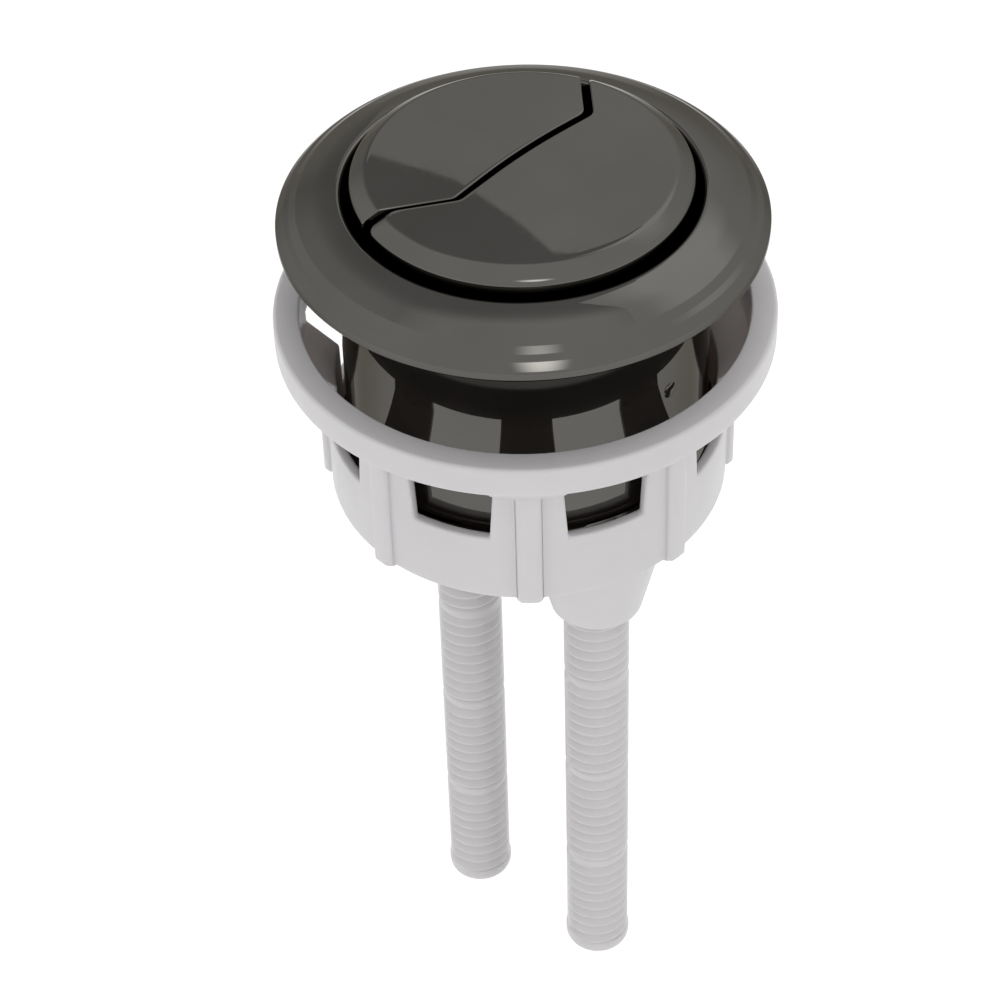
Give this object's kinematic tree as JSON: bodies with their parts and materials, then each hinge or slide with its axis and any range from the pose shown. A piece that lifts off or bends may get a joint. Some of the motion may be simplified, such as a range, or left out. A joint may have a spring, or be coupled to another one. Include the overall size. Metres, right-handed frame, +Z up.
{
  "type": "dual flush push button cistern actuator",
  "caption": "Round plated dual flush push button for a cistern lid, with a barrel through the lid, a ribbed clamp nut below it and threaded push rods that work the flush valve.",
  "frame": {"origin": "centre of the bezel's seat, level with the top of the cistern lid", "axes": "+Z up along the barrel, +X from the half flush rod to the full flush rod"},
  "size_m": [0.076, 0.076, 0.1647],
  "materials": {
    "black_plating": "polished dark plating",
    "button_plating": "polished dark plating",
    "white_plastic": "satin moulded white",
    "nut_plastic": "satin moulded white",
    "rod_plastic": "satin moulded white",
    "spring_steel": "bright drawn wire"
  },
  "bodies": {
    "housing": {"bezel_barrel": "black_plating", "guide_cap": "white_plastic", "full_flush_spring": "spring_steel", "half_flush_spring": "spring_steel"},
    "nut": {"clamp_nut": "nut_plastic"},
    "full_flush": {"full_flush_button": "button_plating", "full_flush_plunger": "white_plastic"},
    "half_flush": {"half_flush_button": "button_plating", "half_flush_plunger": "white_plastic"},
    "full_flush_rod": {"full_flush_rod": "rod_plastic"},
    "half_flush_rod": {"half_flush_rod": "rod_plastic"}
  },
  "joints": [
    {"name": "nut_travel", "type": "slide", "parent": "housing", "child": "nut", "axis": [0, 0, 1], "range_m": [-0.006, 0.008]},
    {"name": "full_flush_press", "type": "slide", "parent": "housing", "child": "full_flush", "axis": [0, 0, -1], "range_m": [0, 0.008], "stiffness_N_per_m": 400, "springref_m": -0.008, "deforming": ["full_flush_spring"]},
    {"name": "half_flush_press", "type": "slide", "parent": "housing", "child": "half_flush", "axis": [0, 0, -1], "range_m": [0, 0.008], "stiffness_N_per_m": 400, "springref_m": -0.008, "deforming": ["half_flush_spring"]},
    {"name": "full_flush_rod_adjust", "type": "slide", "parent": "full_flush", "child": "full_flush_rod", "axis": [0, 0, 1], "range_m": [-0.015, 0.018]},
    {"name": "half_flush_rod_adjust", "type": "slide", "parent": "half_flush", "child": "half_flush_rod", "axis": [0, 0, 1], "range_m": [-0.015, 0.018]}
  ]
}
